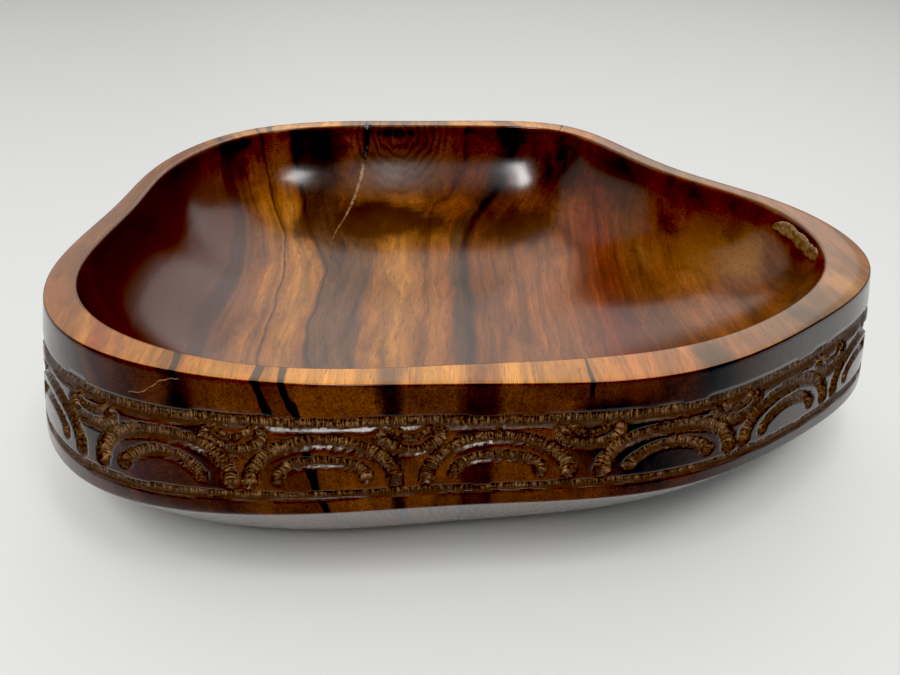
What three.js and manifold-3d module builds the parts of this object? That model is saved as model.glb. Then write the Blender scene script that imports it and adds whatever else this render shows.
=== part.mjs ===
// Carved wooden bowl: one block of figured hardwood, hollowed out, with a carved band round its
// wall, and four fillings where the wood had opened.
// Millimetres, +Z up. The foot rests on z = 0 and the bounding box is centred on x = y = 0.
import * as THREE from 'three';
import { mergeVertices } from 'three/addons/utils/BufferGeometryUtils.js';
import Module from 'manifold-3d';

const wasm = await Module();
wasm.setup();

// ---- Driving dimensions ------------------------------------------------------------------

const HEIGHT = 86; // foot to rim
const HOLLOW_DEPTH = 64; // rim to the middle of the floor
const HOLLOW_CENTRE = new THREE.Vector2(-12, -5);
const HOLLOW_PLAN_POWER = 3.2; // higher: a wider floor
const HOLLOW_DEPTH_POWER = 1.8; // higher: a steeper wall under the rim
const RIM_EASING = 1.2; // the bevel on the rim's inner edge
const WALL_BULGE = 0.15; // fullness of the wall between the rim and its lower edge

// The free-form plan, as the pull points of a closed cubic B-spline, anticlockwise from the front.
// Each row: x, y, width of the rim, height of the wall band, how far the wall flares out below
// the rim, and how far the underside turns in for each millimetre that it falls.
const PLAN = [
  [-2, -146, 11, 44, 5, 0.615],
  [67, -147, 16.5, 43, 4, 0.78],
  [119, -111, 9, 44.5, 8, 0.63],
  [172, -67, 20.5, 45.5, 10, 0.6],
  [161, 5, 8.5, 47, 10.5, 0.63],
  [112, 46, 9.5, 47, 8, 0.63],
  [88, 119, 9.5, 47, 8, 0.63],
  [56, 153, 16, 47, 8, 0.63],
  [-30, 144, 9.5, 47, 8, 0.63],
  [-88, 147, 13, 47, 8, 0.63],
  [-147, 123, 12, 47, 9, 0.63],
  [-170, 50, 7.5, 47.5, 10, 0.63],
  [-160, -7, 9.5, 48, 11, 0.63],
  [-166, -78, 10, 48.5, 12, 0.63],
  [-131, -131, 13.5, 52, 14, 0.745],
  [-62, -150, 7.5, 45, 9, 0.615],
];
const [X, Y, RIM_WIDTH, BAND_HEIGHT, FLARE, UNDERCUT] = [0, 1, 2, 3, 4, 5];
// The underside's own shape: how far it stays straight, as a share of its fall, and how much
// further in the flat foot starts, over the underside's height.
const UNDERSIDE_STRAIGHT = 0.72;
const FOOT_REACH = 0.5;

const COLUMNS = 64; // facets round the bowl
const UNDERSIDE_ROWS = 5;
const HOLLOW_LEVELS = [0.995, 0.98, 0.92, 0.82, 0.68, 0.5, 0.25, 0.08]; // shares of its depth

// The two border grooves of the band. Each: the share of the band's height where it runs, its
// half width and its depth.
const UPPER_GROOVE = { level: 0.305, halfWidth: 2.6, depth: 2 };
const LOWER_GROOVE = { level: 0.855, halfWidth: 1.9, depth: 1.4 };

// The carved pattern: an arch of two arcs, and two small arcs that hang between it and the next.
// Each gouge cut: half its span, the level of its ends and of its middle as shares of the band's
// height, the gouge's radius, the depth of the cut, and its facets.
const ARCH_OUTER = { halfSpan: 22.5, ends: 0.75, middle: 0.43, radius: 3, cut: 1.7, steps: 7 };
const ARCH_INNER = { halfSpan: 13.5, ends: 0.72, middle: 0.58, radius: 2.6, cut: 1.5, steps: 5 };
const HANGING_OUTER = { halfSpan: 9, ends: 0.4, middle: 0.51, radius: 2.7, cut: 1.6, steps: 4 };
const HANGING_INNER = { halfSpan: 6, ends: 0.33, middle: 0.41, radius: 1.6, cut: 1.1, steps: 3 };
const GOUGE_SIDES = 5;
const FIRST_HANGING = 36.7; // along the rim, from the front centre
const ARCH_AFTER_HANGING = 27;
// How far the hand-laid pattern slips from even spacing, one value for each unit round the bowl.
const UNIT_SLIPS = [
  1.4, -1.2, -2.7, 1, -1.5, 0.8, 2, -0.6, 1.2, -1.8,
  0.4, 1.5, -1, 0.6, -0.8, 1.6, 2.7, -0.3, 0.1,
];

// The fillings.
const FIT_GAP = 0.3; // between a filling and its pocket
const POCKET_DEPTH = 4; // pockets in the hollow, below its surface
const OVERRUN = 5; // how far a cutter passes the surface

// The void high on the +X wall of the hollow. Each point: y, and depth below the rim.
const VOID_POINTS = [
  [-9, 7.8], [-12, 4.6], [-17, 2.8], [-23, 3.8], [-35, 3.7], [-45, 3.2],
  [-49.5, 3.9], [-46, 7.5], [-37, 8.2], [-30, 8.6], [-22, 7.5], [-14, 8],
];
const VOID_CUT = { from: 120, reach: 60 }; // along X

// The crack that runs from the rim down the back wall of the hollow, straight in plan.
const CRACK_START = new THREE.Vector2(-59, 138);
const CRACK_END = new THREE.Vector2(-77, 86);
const CRACK_DARK_SHARE = 0.2; // dark resin to here, gold filler after
const CRACK_WIDTHS = { start: 6.4, change: 2.4, end: 1.2 };

// The hairline crack on the outer wall. Each point: distance along the wall, depth below the rim.
const HAIRLINE_POINTS = [[-10, 10], [-5.5, 9.4], [0, 6.1], [2.5, 3.8], [6.5, 2.4], [10, 1.8]];
const HAIRLINE_MIDDLE = new THREE.Vector2(-97, -141);
const HAIRLINE_TURN = THREE.MathUtils.degToRad(-11.5); // the wall's direction there
const HAIRLINE_WIDTH = 0.9;
const HAIRLINE_DEPTH = 2.5;

// ---- The plan curve ------------------------------------------------------------------------

// The value of one PLAN column at t, which runs from 0 to 1 round the bowl.
function blend(t, column) {
  const place = THREE.MathUtils.euclideanModulo(t, 1) * PLAN.length;
  const first = Math.floor(place);
  const f = place - first;
  const weights = [
    (1 - f) ** 3 / 6,
    (3 * f ** 3 - 6 * f ** 2 + 4) / 6,
    (-3 * f ** 3 + 3 * f ** 2 + 3 * f + 1) / 6,
    f ** 3 / 6,
  ];
  const row = (i) => PLAN[(first + i - 1 + PLAN.length) % PLAN.length];
  return weights.reduce((sum, weight, i) => sum + weight * row(i)[column], 0);
}

class RimCurve extends THREE.Curve {
  getPoint(t, target = new THREE.Vector3()) {
    return target.set(blend(t, X), blend(t, Y), 0);
  }
}

const rimCurve = new RimCurve();
rimCurve.arcLengthDivisions = 800;
const RIM_LENGTH = rimCurve.getLength();

// The t at a distance along the rim.
function stationAt(distance) {
  return rimCurve.getUtoTmapping(0, THREE.MathUtils.euclideanModulo(distance, RIM_LENGTH));
}

// The level direction that points away from the bowl.
function outward(t) {
  const step = 1e-4;
  const along = rimCurve.getPoint(t + step).sub(rimCurve.getPoint(t - step)).normalize();
  return new THREE.Vector2(along.y, -along.x);
}

// A point offset outward from the rim's outer edge, at a drop below the rim.
function offsetPoint(t, offset, drop) {
  const normal = outward(t);
  return new THREE.Vector3(
    blend(t, X) + normal.x * offset,
    blend(t, Y) + normal.y * offset,
    HEIGHT - drop,
  );
}

// ---- Surfaces ------------------------------------------------------------------------------

// The outer wall, at a drop below the rim; proud stands off the surface.
function wallPoint(t, drop, proud = 0) {
  const share = drop / blend(t, BAND_HEIGHT);
  const lean = share + WALL_BULGE * share * (1 - share);
  return offsetPoint(t, blend(t, FLARE) * lean + proud, drop);
}

// The underside, a cubic curve from the wall's lower edge (share 0) to the flat foot (share 1):
// nearly straight at first, and then round into the foot.
function undersidePoint(t, share) {
  const band = blend(t, BAND_HEIGHT);
  const height = HEIGHT - band;
  const start = 3 * share * (1 - share) ** 2 * UNDERSIDE_STRAIGHT;
  const turn = 3 * share ** 2 * (1 - share);
  const fall = (start + turn + share ** 3) * height;
  const inset = fall * blend(t, UNDERCUT) + share ** 3 * FOOT_REACH * height;
  return offsetPoint(t, blend(t, FLARE) - inset, band + fall);
}

// The hollow, at a share of its depth; grow makes it larger all round.
function hollowPoint(t, share, grow) {
  const edge = offsetPoint(t, grow - blend(t, RIM_WIDTH), 0);
  const spread = (1 - share ** HOLLOW_DEPTH_POWER) ** (1 / HOLLOW_PLAN_POWER);
  return new THREE.Vector3(
    THREE.MathUtils.lerp(HOLLOW_CENTRE.x, edge.x, spread),
    THREE.MathUtils.lerp(HOLLOW_CENTRE.y, edge.y, spread),
    HEIGHT - (HOLLOW_DEPTH + grow) * share,
  );
}

function ring(pointAt) {
  return Array.from({ length: COLUMNS }, (_, i) => pointAt(i / COLUMNS));
}

// ---- Solids --------------------------------------------------------------------------------

function toSolid(geometry) {
  geometry.deleteAttribute('normal');
  geometry.deleteAttribute('uv');
  const merged = mergeVertices(geometry);
  return new wasm.Manifold(new wasm.Mesh({
    numProp: 3,
    vertProperties: new Float32Array(merged.attributes.position.array),
    triVerts: new Uint32Array(merged.index.array),
  }));
}

function toMesh(name, solid, material) {
  const { vertProperties, triVerts } = solid.getMesh();
  const geometry = new THREE.BufferGeometry();
  geometry.setAttribute('position', new THREE.BufferAttribute(vertProperties, 3));
  geometry.setIndex(new THREE.BufferAttribute(triVerts, 1));
  geometry.computeVertexNormals();
  const mesh = new THREE.Mesh(geometry, material);
  mesh.name = name;
  return mesh;
}

function centreOf(points) {
  const sum = points.reduce((total, point) => total.add(point), new THREE.Vector3());
  return sum.divideScalar(points.length);
}

// A closed skin over rings stacked from the bottom up, with a fan at each end.
function loft(rings) {
  const points = rings.flat();
  const bottom = points.push(centreOf(rings[0])) - 1;
  const top = points.push(centreOf(rings.at(-1))) - 1;
  const lastRing = (rings.length - 1) * COLUMNS;
  const index = [];
  for (let i = 0; i < COLUMNS; i += 1) {
    const next = (i + 1) % COLUMNS;
    for (let row = 0; row < lastRing; row += COLUMNS) {
      index.push(row + i, row + next, row + COLUMNS + next);
      index.push(row + i, row + COLUMNS + next, row + COLUMNS + i);
    }
    index.push(bottom, next, i);
    index.push(top, lastRing + i, lastRing + next);
  }
  const geometry = new THREE.BufferGeometry().setFromPoints(points);
  geometry.setIndex(index);
  return toSolid(geometry);
}

// An outline pushed through the wood; place puts the outline's plane where it cuts.
function prism(outline, depth, place) {
  const geometry = new THREE.ExtrudeGeometry(new THREE.Shape(outline), { depth, bevelEnabled: false });
  geometry.applyMatrix4(place);
  return toSolid(geometry);
}

// ---- The block and its hollow --------------------------------------------------------------

function grooveRings({ level, halfWidth, depth }) {
  const edge = (side) => ring((t) => wallPoint(t, level * blend(t, BAND_HEIGHT) + side * halfWidth));
  const floor = ring((t) => wallPoint(t, level * blend(t, BAND_HEIGHT), -depth));
  return [edge(1), floor, edge(-1)];
}

function block() {
  const fromFoot = Array.from({ length: UNDERSIDE_ROWS }, (_, i) => 1 - i / UNDERSIDE_ROWS);
  return loft([
    ...fromFoot.map((share) => ring((t) => undersidePoint(t, share))),
    ring((t) => wallPoint(t, blend(t, BAND_HEIGHT))),
    ...grooveRings(LOWER_GROOVE),
    ...grooveRings(UPPER_GROOVE),
    ring((t) => wallPoint(t, 0)),
  ]);
}

function hollow(grow = 0) {
  const lip = (easing, drop) => ring((t) => offsetPoint(t, grow + easing - blend(t, RIM_WIDTH), drop));
  return loft([
    ...HOLLOW_LEVELS.map((share) => ring((t) => hollowPoint(t, share, grow))),
    lip(0, RIM_EASING),
    lip(RIM_EASING, 0),
    lip(RIM_EASING, -OVERRUN),
  ]);
}

// ---- The carving ---------------------------------------------------------------------------

function gougeSection(radius) {
  const corners = Array.from({ length: GOUGE_SIDES }, (_, i) => {
    const angle = (2 * Math.PI * i) / GOUGE_SIDES;
    return new THREE.Vector2(radius * Math.cos(angle), radius * Math.sin(angle));
  });
  return new THREE.Shape(corners);
}

// One gouge cut: half an ellipse laid on the wall, centred at a distance along the rim.
function gougeCut(centre, { halfSpan, ends, middle, radius, cut, steps }) {
  const points = Array.from({ length: steps + 1 }, (_, i) => {
    const turn = (Math.PI * i) / steps;
    const t = stationAt(centre - halfSpan * Math.cos(turn));
    const level = THREE.MathUtils.lerp(ends, middle, Math.sin(turn));
    return wallPoint(t, level * blend(t, BAND_HEIGHT), radius - cut);
  });
  const extrudePath = new THREE.CatmullRomCurve3(points);
  const options = { steps, extrudePath, bevelEnabled: false };
  return toSolid(new THREE.ExtrudeGeometry(gougeSection(radius), options));
}

function carving() {
  const cuts = UNIT_SLIPS.flatMap((slip, i) => {
    const hanging = FIRST_HANGING + (RIM_LENGTH * i) / UNIT_SLIPS.length + slip;
    const arch = hanging + ARCH_AFTER_HANGING;
    return [
      gougeCut(hanging, HANGING_OUTER),
      gougeCut(hanging, HANGING_INNER),
      gougeCut(arch, ARCH_OUTER),
      gougeCut(arch, ARCH_INNER),
    ];
  });
  return wasm.Manifold.union(cuts);
}

// ---- The fillings --------------------------------------------------------------------------

// An outline moved out by the fit gap along every edge.
function grown(outline) {
  const side = Math.sign(THREE.ShapeUtils.area(outline));
  const normalOf = (from, to) => {
    const along = to.clone().sub(from).normalize();
    return new THREE.Vector2(along.y, -along.x).multiplyScalar(side);
  };
  return outline.map((point, i) => {
    const before = normalOf(outline.at(i - 1), point);
    const after = normalOf(point, outline[(i + 1) % outline.length]);
    const reach = FIT_GAP / (1 + before.dot(after));
    return point.clone().addScaledVector(before.add(after), reach);
  });
}

// A filling let into the hollow's surface.
function hollowInlay(outline, depth, place, wood) {
  const cutter = prism(outline, depth, place);
  return cutter.intersect(hollow(POCKET_DEPTH - FIT_GAP)).intersect(wood);
}

function hollowPocket(outline, depth, place) {
  return prism(grown(outline), depth, place).intersect(hollow(POCKET_DEPTH));
}

const voidOutline = VOID_POINTS.map(([y, drop]) => new THREE.Vector2(y, HEIGHT - drop));
const voidPlace = new THREE.Matrix4().makeBasis(
  new THREE.Vector3(0, 1, 0),
  new THREE.Vector3(0, 0, 1),
  new THREE.Vector3(1, 0, 0),
).setPosition(VOID_CUT.from, 0, 0);

// The part of the crack between two shares of its length, in plan.
function crackOutline(from, to) {
  const along = CRACK_END.clone().sub(CRACK_START).normalize();
  const across = new THREE.Vector2(-along.y, along.x);
  const halfWidth = (share) => 0.5 * (share < CRACK_DARK_SHARE
    ? THREE.MathUtils.mapLinear(share, 0, CRACK_DARK_SHARE, CRACK_WIDTHS.start, CRACK_WIDTHS.change)
    : THREE.MathUtils.mapLinear(share, CRACK_DARK_SHARE, 1, CRACK_WIDTHS.change, CRACK_WIDTHS.end));
  const corner = (share, side) => CRACK_START.clone().lerp(CRACK_END, share)
    .addScaledVector(across, side * halfWidth(share));
  const passesChange = from < CRACK_DARK_SHARE && to > CRACK_DARK_SHARE;
  const shares = passesChange ? [from, CRACK_DARK_SHARE, to] : [from, to];
  const oneSide = (side) => shares.map((share) => corner(share, side));
  return [...oneSide(-1), ...oneSide(1).reverse()];
}

const crackPlace = new THREE.Matrix4(); // cut upright, from the foot's level
const crackReach = HEIGHT + OVERRUN;
const goldStart = CRACK_DARK_SHARE + FIT_GAP / CRACK_START.distanceTo(CRACK_END);

// The hairline as a narrow ribbon on the wall.
function hairlineOutline() {
  const points = HAIRLINE_POINTS.map(([along, drop]) => new THREE.Vector2(along, HEIGHT - drop));
  const oneSide = (side) => points.map((point) => (
    point.clone().add(new THREE.Vector2(0, (side * HAIRLINE_WIDTH) / 2))
  ));
  return [...oneSide(-1), ...oneSide(1).reverse()];
}

// The hairline's plane stands upright on the wall, a depth inside its surface.
function hairlinePlace(depth) {
  const along = new THREE.Vector3(Math.cos(HAIRLINE_TURN), Math.sin(HAIRLINE_TURN), 0);
  const up = new THREE.Vector3(0, 0, 1);
  const out = along.clone().cross(up);
  const origin = new THREE.Vector3(HAIRLINE_MIDDLE.x, HAIRLINE_MIDDLE.y, 0).addScaledVector(out, -depth);
  return new THREE.Matrix4().makeBasis(along, up, out).setPosition(origin);
}

// ---- Assembly ------------------------------------------------------------------------------

const polishedWood = new THREE.MeshStandardMaterial({ color: 0x6b3a1c, roughness: 0.25, metalness: 0 });
const tanFiller = new THREE.MeshStandardMaterial({ color: 0x8a6a3e, roughness: 0.45, metalness: 0 });
const darkResin = new THREE.MeshStandardMaterial({ color: 0x120b08, roughness: 0.2, metalness: 0 });
const goldFiller = new THREE.MeshStandardMaterial({ color: 0xa07a35, roughness: 0.4, metalness: 0 });
const paleFiller = new THREE.MeshStandardMaterial({ color: 0xb98d62, roughness: 0.5, metalness: 0 });

const wholeBlock = block();
const wood = wholeBlock.subtract(hollow());

const crackPocket = hollowPocket(crackOutline(0, 1), crackReach, crackPlace);
const voidPocket = hollowPocket(voidOutline, VOID_CUT.reach, voidPlace);
const hairlinePocket = prism(
  grown(hairlineOutline()),
  HAIRLINE_DEPTH + FIT_GAP + OVERRUN,
  hairlinePlace(HAIRLINE_DEPTH + FIT_GAP),
);

const body = wood
  .subtract(carving())
  .subtract(crackPocket)
  .subtract(voidPocket)
  .subtract(hairlinePocket);

const voidFill = hollowInlay(voidOutline, VOID_CUT.reach, voidPlace, wood);
const darkCrack = crackOutline(0, CRACK_DARK_SHARE);
const goldCrack = crackOutline(goldStart, 1);
const hairlineFill = prism(
  hairlineOutline(),
  HAIRLINE_DEPTH + OVERRUN,
  hairlinePlace(HAIRLINE_DEPTH),
).intersect(wood);

const bowl = new THREE.Group();
bowl.add(
  toMesh('bowl_body', body, polishedWood),
  toMesh('void_fill', voidFill, tanFiller),
  toMesh('crack_fill_upper', hollowInlay(darkCrack, crackReach, crackPlace, wood), darkResin),
  toMesh('crack_fill_lower', hollowInlay(goldCrack, crackReach, crackPlace, wood), goldFiller),
  toMesh('hairline_fill', hairlineFill, paleFiller),
);

const middle = new THREE.Box3().setFromObject(bowl.children[0]).getCenter(new THREE.Vector3());
bowl.position.set(-middle.x, -middle.y, 0);

export default bowl;
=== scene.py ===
"""Carved wooden bowl: a fine carved body and its four fillings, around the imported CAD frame.

Lengths in the design tables are millimetres, as the maker would give them; MM turns them into
metres for Blender. Places come from the CAD frame: the foot is on z = 0 and the plan is centred
on the box of the CAD body.
"""
import math

import bmesh
import bpy
import numpy as np
from mathutils import Matrix, Vector


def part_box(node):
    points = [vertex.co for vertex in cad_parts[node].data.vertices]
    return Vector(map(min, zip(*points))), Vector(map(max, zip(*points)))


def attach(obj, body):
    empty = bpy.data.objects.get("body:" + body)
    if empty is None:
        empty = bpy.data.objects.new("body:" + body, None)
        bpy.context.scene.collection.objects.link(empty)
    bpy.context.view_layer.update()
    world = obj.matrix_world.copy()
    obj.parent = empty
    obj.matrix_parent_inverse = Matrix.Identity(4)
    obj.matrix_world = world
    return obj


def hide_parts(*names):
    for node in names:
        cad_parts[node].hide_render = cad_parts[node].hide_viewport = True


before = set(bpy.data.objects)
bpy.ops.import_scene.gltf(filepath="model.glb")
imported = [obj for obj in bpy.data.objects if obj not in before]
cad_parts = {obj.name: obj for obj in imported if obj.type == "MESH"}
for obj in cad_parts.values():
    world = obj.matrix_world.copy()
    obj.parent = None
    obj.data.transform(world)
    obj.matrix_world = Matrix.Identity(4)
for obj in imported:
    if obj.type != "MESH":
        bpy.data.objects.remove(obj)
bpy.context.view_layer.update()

MM = 0.001
BODY = "root"
BODY_LOW, BODY_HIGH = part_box("bowl_body")

# ---- The design

HEIGHT = (BODY_HIGH.z - BODY_LOW.z) / MM  # foot to rim
HOLLOW_DEPTH = 64.0  # rim to the middle of the floor
HOLLOW_CENTRE = np.array([-12.0, -5.0])
HOLLOW_PLAN_POWER = 3.2  # higher: a wider floor
HOLLOW_DEPTH_POWER = 1.8  # higher: a steeper wall under the rim
WALL_BULGE = 0.15  # fullness of the wall between the rim and its lower edge
# The underside: how far it stays straight, as a share of its fall, and how much further in the
# flat foot starts, over the underside's height.
UNDERSIDE_STRAIGHT = 0.72
FOOT_REACH = 0.5

# Pull points of the closed cubic B-spline of the plan: x, y, rim width, height of the band,
# flare of the wall, turn-in of the underside for each millimetre that it falls.
PLAN = np.array([
    [-2, -146, 11, 44, 5, 0.615],
    [67, -147, 16.5, 43, 4, 0.78],
    [119, -111, 9, 44.5, 8, 0.63],
    [172, -67, 20.5, 45.5, 10, 0.6],
    [161, 5, 8.5, 47, 10.5, 0.63],
    [112, 46, 9.5, 47, 8, 0.63],
    [88, 119, 9.5, 47, 8, 0.63],
    [56, 153, 16, 47, 8, 0.63],
    [-30, 144, 9.5, 47, 8, 0.63],
    [-88, 147, 13, 47, 8, 0.63],
    [-147, 123, 12, 47, 9, 0.63],
    [-170, 50, 7.5, 47.5, 10, 0.63],
    [-160, -7, 9.5, 48, 11, 0.63],
    [-166, -78, 10, 48.5, 12, 0.63],
    [-131, -131, 13.5, 52, 14, 0.745],
    [-62, -150, 7.5, 45, 9, 0.615],
])
PLACE, RIM_WIDTH, BAND_HEIGHT, FLARE, UNDERCUT = slice(0, 2), 2, 3, 4, 5

# Border grooves: level (share of the band's height), half width, depth.
UPPER_GROOVE = {"level": 0.305, "half_width": 2.6, "depth": 2.2}
LOWER_GROOVE = {"level": 0.855, "half_width": 1.7, "depth": 1.5}

# Gouge cuts of one unit: half span, level of the ends and of the middle, half width, depth.
ARCH_OUTER = {"half_span": 22.5, "ends": 0.75, "middle": 0.43, "half_width": 2.6, "depth": 2.2}
ARCH_INNER = {"half_span": 13.5, "ends": 0.72, "middle": 0.58, "half_width": 2.2, "depth": 1.9}
HANGING_OUTER = {"half_span": 9, "ends": 0.4, "middle": 0.51, "half_width": 2.25, "depth": 1.9}
HANGING_INNER = {"half_span": 6, "ends": 0.33, "middle": 0.41, "half_width": 1.25, "depth": 1.2}
FIRST_HANGING = 36.7  # along the rim, from the front centre
ARCH_AFTER_HANGING = 27.0
# How far the hand-laid pattern slips from even spacing, one value for each unit round the bowl.
UNIT_SLIPS = [
    1.4, -1.2, -2.7, 1, -1.5, 0.8, 2, -0.6, 1.2, -1.8,
    0.4, 1.5, -1, 0.6, -0.8, 1.6, 2.7, -0.3, 0.1,
]

# ---- The fine mesh

BAND_COLUMNS = 1120  # round the wall; other rings have a half, a quarter or an eighth of them
# Rings of the foot and the underside, from the middle of the foot to the wall's lower edge. The
# foot's are shares of its outline; the others say how far down the underside each one lies.
FOOT_SPREADS = [0.5, 0.93]
LOW_UNDERSIDE = np.linspace(1, 0.45, 7)
HIGH_UNDERSIDE = [0.37, 0.28, 0.2, 0.12, 0.06, 0.025]
# Rings of the wall band, from its lower edge to the rim, as shares of its height.
WALL_SHARES = np.concatenate([
    [1.0, 0.985, 0.96],
    np.linspace(0.93, 0.235, 47),
    [0.2, 0.15, 0.09, 0.04, 0.013],
])
# Rings of the rim: the chamfer of its outer edge, its flat top, and the easing of its inner edge.
RIM_CHAMFER = 0.12
RIM_TOP_START = 0.5
RIM_TOP_SHARES = [0.3, 0.7]
RIM_EASING = 1.5
RIM_EASING_TURNS = [0, 22, 45, 67]
# Rings of the hollow, as degrees from the rim towards the middle of the floor.
HIGH_HOLLOW = [3, 4.2, 5.5, 7, 8.5, 10.2, 12, 14, 16, 18, 20, 22, 24.5, 27, 29]
MIDDLE_HOLLOW = [34, 39, 44, 49, 54, 59, 64, 69, 74, 78]
LOW_HOLLOW = [82, 85, 87.5, 89]

rng = np.random.default_rng(7)


def weights(f):
    """Cubic B-spline weights of four neighbouring pull points."""
    return np.stack([
        (1 - f) ** 3 / 6,
        (3 * f ** 3 - 6 * f ** 2 + 4) / 6,
        (-3 * f ** 3 + 3 * f ** 2 + 3 * f + 1) / 6,
        f ** 3 / 6,
    ])


def blend(t, column):
    """Value of a PLAN column at t, from 0 to 1 round the bowl."""
    place = (np.asarray(t, float) % 1.0) * len(PLAN)
    first = np.floor(place).astype(int)
    share = weights(place - first)
    rows = [PLAN[(first + i - 1) % len(PLAN), column] for i in range(4)]
    if rows[0].ndim > np.ndim(t):
        share = share[..., None]
    return sum(w * row for w, row in zip(share, rows))


def outward(t):
    """Level unit directions away from the bowl."""
    step = 1e-4
    along = blend(t + step, PLACE) - blend(t - step, PLACE)
    along /= np.linalg.norm(along, axis=-1, keepdims=True)
    return np.stack([along[..., 1], -along[..., 0]], -1)


FINE_T = np.linspace(0, 1, 8001)
FINE_PLACE = blend(FINE_T, PLACE)
FINE_LENGTH = np.concatenate([[0], np.cumsum(np.linalg.norm(np.diff(FINE_PLACE, axis=0), axis=1))])
RIM_LENGTH = FINE_LENGTH[-1]


def station(distance):
    """The t at a distance along the rim."""
    return np.interp(np.mod(distance, RIM_LENGTH), FINE_LENGTH, FINE_T)


def offset_point(t, offset, drop):
    """Points offset outward from the rim's outer edge, at a drop below the rim."""
    level = blend(t, PLACE) + outward(t) * np.asarray(offset)[..., None]
    height = np.broadcast_to(HEIGHT - drop, level.shape[:-1])
    return np.concatenate([level, height[..., None]], -1)


def wall_offset(t, share):
    return blend(t, FLARE) * (share + WALL_BULGE * share * (1 - share))


def columns(count):
    """t and distance along the rim of evenly spaced columns."""
    distance = np.arange(count) * RIM_LENGTH / count
    return station(distance), distance


# ---- The carving as a depth field on the wall

RIB_PITCH = 1.55  # between the gouge's ribs along a cut
RIB_SHARE = 0.16  # how much shallower a cut is on its ribs, as a share of its depth
# How far the ribs drift from even spacing, in radians, and the length that it takes.
RIB_DRIFT, RIB_DRIFT_RUN = 2.0, 3.7
CUT_POWER = 2.6  # higher: a cut with a flatter bottom and steeper sides
ARC_STEPS = 140  # points along the line of an arc
ARC_WOBBLE = 0.35  # standard deviation of how far an arc's line strays
# How cuts stray, as (amount, radians for each millimetre along them): a groove's line, in
# millimetres, and an arc's half width, as a share of it.
GROOVE_WAVER = [(0.25, 0.11), (0.15, 0.37)]
ARC_RAGGED = [(0.05, 1.9), (0.04, 4.3)]
RIB_LAYING = 100.0  # between the starts of two units' ribs, so that no two are alike


def smooth(value):
    value = np.clip(value, 0, 1)
    return value * value * (3 - 2 * value)


def soft_cut(reach):
    """1 in the middle of a cut, 0 past its edge: a round-bottomed gouge cut with steep sides."""
    return np.sqrt(np.clip(1 - np.abs(reach) ** CUT_POWER, 0, 1))


def eased_cut(reach):
    """The same for a side that slopes evenly up to a crisp lip."""
    return np.clip(1 - reach ** 2, 0, 1)


def section(reach, side):
    """Section of a cut: steep on its upper wall, and eased on its lower one."""
    lower = smooth(1.5 * side)
    return (1 - lower) * soft_cut(reach) + lower * eased_cut(reach)


def rough_share(side):
    """How rough the gouge leaves a cut: the upper wall is ribbed and the lower wall is smooth."""
    return np.clip(1.3 - 1.5 * side, 0.05, 1.0)


def arc_line(centre, half_span, ends, middle, wobble):
    """A gouge cut's line on the wall: distance along the rim, and drop."""
    turn = np.linspace(0, math.pi, ARC_STEPS)
    along = centre - half_span * np.cos(turn)
    level = ends + (middle - ends) * np.sin(turn)
    drop = level * blend(station(along), BAND_HEIGHT)
    return np.stack([along + wobble[0] * np.sin(2 * turn), drop + wobble[1] * np.sin(3 * turn)], -1)


class Carving:
    """Depth of the carving at points of the wall, and what the material needs to know of it."""

    def __init__(self, distance, drop, band):
        self.distance = distance.ravel()
        self.drop = drop.ravel()
        self.band = band.ravel()
        self.shape = distance.shape
        self.depth, self.share, self.along, self.side = np.zeros((4, distance.size))

    def apply(self, at, full_depth, share, along, side):
        """Cut a groove into the points at these indices; the deepest cut wins."""
        drift = RIB_DRIFT * np.sin(along / RIB_DRIFT_RUN)
        wave = 0.5 + 0.5 * np.sin(2 * math.pi * along / RIB_PITCH + drift)
        cut = full_depth * share * (1 - RIB_SHARE * rough_share(side) * wave)
        deeper = cut > self.depth[at]
        for kept, value in (
            (self.depth, cut), (self.share, share), (self.along, along), (self.side, side),
        ):
            kept[at[deeper]] = value[deeper]

    def groove(self, level, half_width, depth):
        (slow, slow_rate), (quick, quick_rate) = GROOVE_WAVER
        waver = slow * np.sin(self.distance * slow_rate + level)
        waver = waver + quick * np.sin(self.distance * quick_rate)
        side = (self.drop - level * self.band - waver) / half_width
        at = np.flatnonzero(np.abs(side) < 1)
        self.apply(at, depth, section(side[at], side[at]), self.distance[at], side[at])

    def arc(self, centre, cut, start):
        wobble = rng.normal(0, ARC_WOBBLE, 2)
        line = arc_line(centre, cut["half_span"], cut["ends"], cut["middle"], wobble)
        run = np.concatenate([[0], np.cumsum(np.linalg.norm(np.diff(line, axis=0), axis=1))])
        away = (self.distance - centre + RIM_LENGTH / 2) % RIM_LENGTH - RIM_LENGTH / 2
        margin = 2 * cut["half_width"]
        near = np.flatnonzero(
            (np.abs(away) < cut["half_span"] + margin)
            & (self.drop > line[:, 1].min() - margin)
            & (self.drop < line[:, 1].max() + margin)
        )
        gap_along = (away[near] + centre)[:, None] - line[None, :, 0]
        gap_down = self.drop[near][:, None] - line[None, :, 1]
        gap = np.sqrt(gap_along ** 2 + gap_down ** 2)
        nearest = gap.argmin(1)
        rows = np.arange(len(near))
        (slow, slow_rate), (quick, quick_rate) = ARC_RAGGED
        ragged = 1 + slow * np.sin(run[nearest] * slow_rate + start)
        ragged = ragged + quick * np.sin(run[nearest] * quick_rate)
        reach = gap[rows, nearest] / (cut["half_width"] * ragged)
        side = gap_down[rows, nearest] / cut["half_width"]
        self.apply(near, cut["depth"], section(reach, side), run[nearest] + start, side)


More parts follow.
